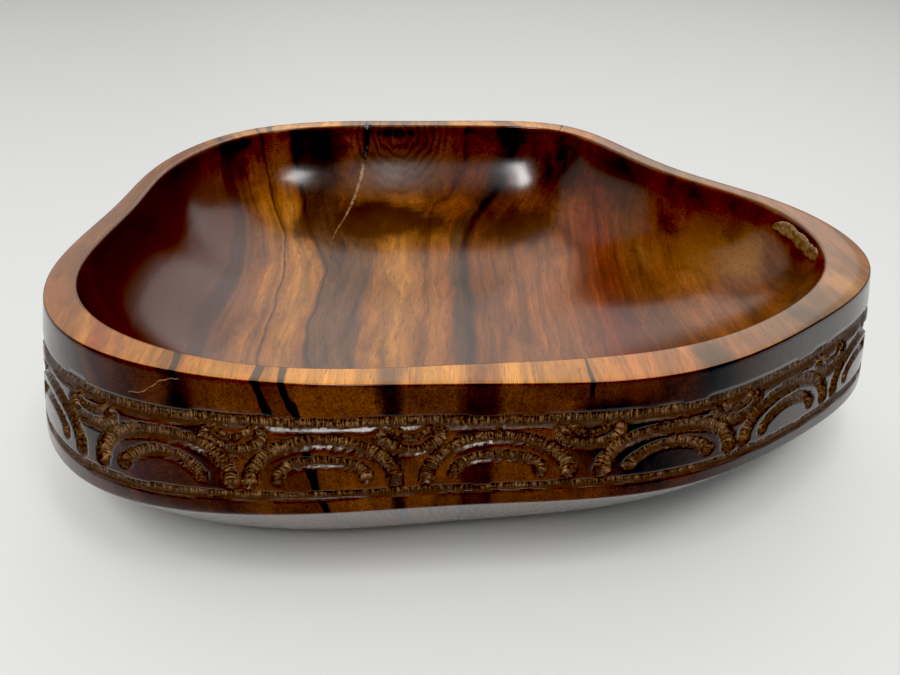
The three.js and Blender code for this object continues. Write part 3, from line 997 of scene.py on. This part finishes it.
class Wood(Nodes):
    """The bowl's wood. Most methods take the colour so far and lay one more thing over it."""

    def __init__(self, name):
        super().__init__(name)
        self.x, self.y, self.z = self.split(self.place())
        self.patterns = {}
        self.rim = self.attribute("rim")
        self.hollow = self.attribute("hollow")
        self.end_grain = self.attribute("end_grain")
        self.wall = self.rest(self.math("MAXIMUM", self.rim, self.hollow))
        coarse = self.centred(self.pattern("coarse"), COARSE_WANDER)
        fine = self.centred(self.pattern("fine"), FINE_WANDER)
        self.layer = self.math("ADD", self.attribute("layer"), self.math("ADD", coarse, fine))
        self.cut = self.span(self.attribute("cut"), 0.02, 0.24)
        chipped = self.math("MULTIPLY_ADD", self.pattern("chips"), 0.6, self.attribute("side"))
        self.rough = self.span(chipped, 0.45, 1.0, 1.0, 0.0)
        self.ribs = self.made(self.attribute("along"), self.x, self.z, RIBS)

    def made(self, a, b, c, pattern):
        sizes, detail, roughness, distortion = pattern
        return self.noise(self.sized(a, b, c, sizes), detail, roughness, distortion)

    def pattern(self, name):
        """A named pattern, made when it is first asked for."""
        if name not in self.patterns:
            if name in BY_PLACE:
                made = self.made(self.x, self.y, self.z, BY_PLACE[name])
            else:
                made = self.made(self.layer, self.y, self.z, BY_LAYER[name])
            self.patterns[name] = made
        return self.patterns[name]

    def shade(self, name, shades, low=0.3, high=0.7):
        return self.span(self.pattern(name), low, high, *shades, "LINEAR")

    def figure(self):
        """The growth layers' colours, with their lines, fibres and clouds."""
        outer = self.bands(self.layer, OUTER_BANDS)
        color = self.mix(self.hollow, outer, self.bands(self.layer, HOLLOW_BANDS))
        # lines are faint where the fibres end on the surface, and grains show only there
        strength = self.span(self.end_grain, 0.2, 0.9, 1.0, 0.4)
        for name, shades in (("lines", LINE_SHADES), ("threads", THREAD_SHADES)):
            away = self.math("SUBTRACT", self.shade(name, shades), 1.0)
            color = self.scaled(color, self.math("MULTIPLY_ADD", away, strength, 1.0))
        color = self.scaled(color, self.shade("clouds", CLOUD_SHADES, 0.33, 0.67))
        away = self.math("SUBTRACT", self.shade("grains", GRAIN_SHADES), 1.0)
        return self.scaled(color, self.math("ADD", self.product(away, self.end_grain), 1.0))

    def streaks(self, color):
        depth = self.math("SUBTRACT", HEIGHT, self.z)
        outer = self.rest(self.hollow)
        for layer, half_width, reach in STREAKS:
            away = self.math("ABSOLUTE", self.math("SUBTRACT", self.layer, layer))
            core = self.span(away, half_width, 0.55 * half_width)
            above = self.span(depth, reach + STREAK_FADE, reach)
            color = self.mix(self.product(core, above, outer, STREAK_STRENGTH), color, BLACK)
        return color

    def stains(self, color):
        ragged = self.centred(self.pattern("ragged"), STAIN_RAGGED)
        for kind, outside, inside, cover in STAIN_LOOKS:
            tint = outside if outside == inside else self.mix(self.hollow, outside, inside)
            reached = self.math("ADD", self.attribute(kind), ragged)
            color = self.mix(self.span(reached, 0.18, 0.72, 0.0, cover), color, tint)
        return color

    def knot(self, color):
        away = self.attribute("knot")
        swirl = self.math("ADD", away, self.centred(self.pattern("fine"), RING_WANDER))
        ring = self.math("SINE", self.math("MULTIPLY", swirl, RING_RATE))
        near = self.span(away, KNOT_OUTSIDE, KNOT_INSIDE)
        behind = self.span(self.y, KNOT_STARTS_Y, KNOT_FULL_Y)
        ring_color = self.mix(self.span(ring, -0.7, 0.8), RING_DARK, RING_LIGHT)
        return self.mix(self.product(near, behind, KNOT_SHARE), color, ring_color)

    def pores(self, color):
        """Short dark ticks along the fibres, and specks where the fibres end on the surface."""
        color = self.mix(self.span(self.pattern("pores"), 0.58, 0.70, 0.0, PORE_SHARE), color, PORE_COLOR)
        return self.mix(self.span(self.pattern("ticks"), 0.58, 0.68, 0.0, TICK_SHARE), color, TICK_COLOR)

    def finish_and_painted_light(self, color):
        # Sanded rim, painted sheen on the rim, darker end grain that is partly painted shade, and painted
        # shade on the side wall.
        color = self.scaled(color, self.span(self.rim, 0, 1, 1.0, RIM_LIGHTER, "LINEAR"))
        # Painted sheen on the rim.
        color = self.mix(self.product(self.rim, RIM_PAINTED_SHEEN_SHARE), color, RIM_PAINTED_SHEEN)
        # Darker end grain, partly the wood's own and partly painted shade.
        color = self.deepen(color, self.span(self.end_grain, 0.1, 0.95, 1.0, END_GRAIN_AND_SHADE_DEEPER))
        color = self.scaled(color, self.span(self.end_grain, 0.1, 0.95, 1.0, END_GRAIN_AND_SHADE_DARKER))
        # Painted shade on the side wall.
        return self.scaled(color, self.span(self.wall, 0, 1, 1.0, WALL_PAINTED_SHADE, "LINEAR"))

    def cuts(self, color):
        """Dark stain in the cuts, with raw golden ribs on the upper wall of each."""
        rib_share = self.product(
            self.span(self.ribs, 0.42, 0.63),
            self.span(self.pattern("chips"), 0.31, 0.6),
            self.span(self.pattern("worn"), 0.3, 0.62, 0.35, 1.0),
            self.span(self.rough, 0, 1, 0.35, 1.0),
        )
        rib_color = self.mix(self.rough, RIB_SMOOTH, RIB_ROUGH)
        return self.mix(self.cut, color, self.mix(rib_share, CUT_GROUND, rib_color))

    def gloss(self):
        """How much of the lacquer there is."""
        flat = self.span(self.z, FLAT_WALL_STARTS, FLAT_WALL_FULL)
        head_on = self.span(self.facing(), 0.3, 0.65, 1.0, 0.0)
        dull_wall = self.product(self.wall, flat, self.rest(self.cut), head_on, DULL_WALL)
        dull_ribs = self.product(self.cut, self.rough, DULL_RIBS)
        dull = self.math("MAXIMUM", self.product(self.rim, DULL_RIM), dull_wall)
        return self.rest(self.math("MAXIMUM", dull, dull_ribs))

    def carved_relief(self):
        waves = self.bump(self.pattern("waves"), WAVE_RELIEF)
        ridged = self.product(self.cut, self.span(self.rough, 0, 1, 0.08, 1.0))
        chipped = self.math("ADD", self.ribs, self.math("MULTIPLY", self.pattern("chips"), 0.7))
        return self.bump(self.product(ridged, chipped), RIB_RELIEF, Normal=waves)

    def grain_relief(self, carved):
        pits = self.product(self.span(self.pattern("pores"), 0.6, 0.72), 0.6)
        return self.bump(self.math("SUBTRACT", self.pattern("threads"), pits), GRAIN_RELIEF, Normal=carved)


def wood_material(name, specular):
    wood = Wood(name)
    color = wood.figure()
    for layer in (wood.streaks, wood.stains, wood.knot, wood.pores, wood.finish_and_painted_light, wood.cuts):
        color = layer(color)
    shader = wood.shader.inputs
    wood.put(shader["Base Color"], color)
    wood.put(shader["Roughness"], wood.shade("threads", (0.34, 0.5)))
    wood.put(shader["Coat Weight"], wood.gloss())
    shader["Coat Roughness"].default_value = COAT_ROUGHNESS
    shader["Coat IOR"].default_value = COAT_IOR
    shader["Specular IOR Level"].default_value = specular
    carved = wood.carved_relief()
    wood.put(shader["Coat Normal"], carved)
    wood.put(shader["Normal"], wood.grain_relief(carved))
    return wood.material


# Each filling's material: its slot, main and mottling colours, roughness, and coat weight.
FILL_LOOKS = {
    "void_fill": ("tan_filler", (0.36, 0.215, 0.1), (0.2, 0.11, 0.045), 0.42, 0.5),
    "crack_fill_upper": ("dark_resin", (0.012, 0.007, 0.004), (0.035, 0.016, 0.006), 0.2, 0.8),
    "crack_fill_lower": ("gold_filler", (0.3, 0.155, 0.055), (0.1, 0.045, 0.014), 0.38, 0.6),
    "hairline_fill": ("pale_filler", (0.24, 0.125, 0.055), (0.12, 0.05, 0.018), 0.5, 0.3),
}
FILL_BLOTCH = 2.6  # size of a filler's blotches and of its grains
FILL_GRAIN = 0.5
FILL_COAT_ROUGHNESS = 0.16


def filler_material(name, main, mottle, roughness, coat):
    n = Nodes(name)
    x, y, z = n.split(n.place())
    blotches = n.noise(n.sized(x, y, z, (FILL_BLOTCH,) * 3), detail=4, roughness=0.65)
    grains = n.noise(n.sized(x, y, z, (FILL_GRAIN,) * 3), detail=2)
    color = n.mix(n.span(blotches, 0.4, 0.62), main, mottle)
    color = n.scaled(color, n.span(grains, 0.3, 0.7, 0.75, 1.25, "LINEAR"))
    n.put(n.shader.inputs["Base Color"], color)
    dulled = n.span(grains, 0.3, 0.7, roughness - 0.08, roughness + 0.1, "LINEAR")
    n.put(n.shader.inputs["Roughness"], dulled)
    n.shader.inputs["Coat Weight"].default_value = coat
    n.shader.inputs["Coat Roughness"].default_value = FILL_COAT_ROUGHNESS
    n.put(n.shader.inputs["Normal"], n.bump(grains, 0.12, Normal=n.bump(blotches, 0.5)))
    return n.material


# ---- Stage, light and camera
# Places and sizes of the stage and the lamps are in metres.

FLOOR_REACH = 4.0
FLOOR_COLOR = (0.74, 0.745, 0.73, 1)
FLOOR_ROUGHNESS = 0.55


def build_stage():
    mesh = bpy.data.meshes.new("floor")
    corners = [(-1, -1), (1, -1), (1, 1), (-1, 1)]
    mesh.from_pydata([(x * FLOOR_REACH, y * FLOOR_REACH, 0) for x, y in corners], [], [(0, 1, 2, 3)])
    paint = Nodes("pale_floor")
    paint.shader.inputs["Base Color"].default_value = FLOOR_COLOR
    paint.shader.inputs["Roughness"].default_value = FLOOR_ROUGHNESS
    mesh.materials.append(paint.material)
    in_scene("floor", mesh)


# Lamps: place, size, power, whether each faces straight down or else the bowl, and whether
# polished surfaces mirror it. The two lamps hang in front of the bowl, and two pale panels stand
# behind it and at its left; the other two panels give soft light and aren't mirrored.
LAMPS = {
    "lamp_right": ((0.78, -0.68, 1.9), (0.4, 0.6), 8.0, "down", True),
    "lamp_middle": ((-0.43, -1.1, 1.9), (0.28, 1.2), 18.0, "down", True),
    "panel_behind": ((0.35, 2.3, 1.5), (2.8, 1.7), 15.0, "bowl", True),
    "panel_left": ((-1.9, 1.35, 1.15), (2.3, 1.7), 4.3, "bowl", True),
    "panel_above": ((0.0, 0.2, 2.4), (2.4, 2.4), 14.0, "bowl", False),
    "panel_front": ((0.0, -1.6, 2.1), (1.4, 1.0), 15.0, "bowl", False),
}
WORLD_COLOR = (1.0, 0.99, 0.97, 1)
WORLD_STRENGTH = 0.28
BLACK_LEVEL = (0.038, 0.033, 0.030)  # what is darker than this goes black


def build_lights():
    world = bpy.data.worlds.new("studio")
    world.use_nodes = True
    background = world.node_tree.nodes["Background"]
    background.inputs["Color"].default_value = WORLD_COLOR
    background.inputs["Strength"].default_value = WORLD_STRENGTH
    bpy.context.scene.world = world
    for name, (place, size, power, facing, mirrored) in LAMPS.items():
        light = bpy.data.lights.new(name, "AREA")
        light.shape = "RECTANGLE"
        light.size, light.size_y = size
        light.energy = power
        holder = in_scene(name, light)
        holder.location = place
        holder.visible_glossy = mirrored
        if facing == "bowl":
            holder.rotation_euler = (-Vector(place)).to_track_quat("-Z", "Y").to_euler()


# The camera: its lens and sensor in millimetres, its x and y, its height above the rim, how far it
# looks down, and its roll, in degrees.
LENS = 27.04
SENSOR_WIDTH = 36.0
CAMERA_X, CAMERA_Y = -5.89, -307.28
CAMERA_ABOVE_RIM = 117.55
LOOKING_DOWN = 32.3
ROLL = 0.4


def build_camera(shift):
    data = bpy.data.cameras.new("camera")
    data.sensor_width = SENSOR_WIDTH
    data.lens = LENS
    camera = in_scene("camera", data)
    place = np.array([CAMERA_X, CAMERA_Y, HEIGHT + CAMERA_ABOVE_RIM]) + shift
    camera.matrix_world = (
        Matrix.Translation(Vector(place * MM))
        @ Matrix.Rotation(math.radians(90 - LOOKING_DOWN), 4, "X")
        @ Matrix.Rotation(math.radians(ROLL), 4, "Z")
    )
    bpy.context.scene.camera = camera


def set_view():
    view = bpy.context.scene.view_settings
    view.view_transform = "Standard"
    view.use_curve_mapping = True
    view.curve_mapping.black_level = BLACK_LEVEL
    view.curve_mapping.update()


# ---- The scene

body, shift = build_body()
body.data.materials.append(wood_material("polished_wood", WOOD_SPECULAR))
body.data.materials.append(wood_material("polished_underside", UNDERSIDE_SPECULAR))
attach(body, BODY)
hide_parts("bowl_body")
for node, piece in build_fillings(shift).items():
    slot, *look = FILL_LOOKS[node]
    piece.data.materials.append(filler_material(slot, *look))
    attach(piece, BODY)
    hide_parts(node)
build_stage()
build_lights()
build_camera(shift)
set_view()
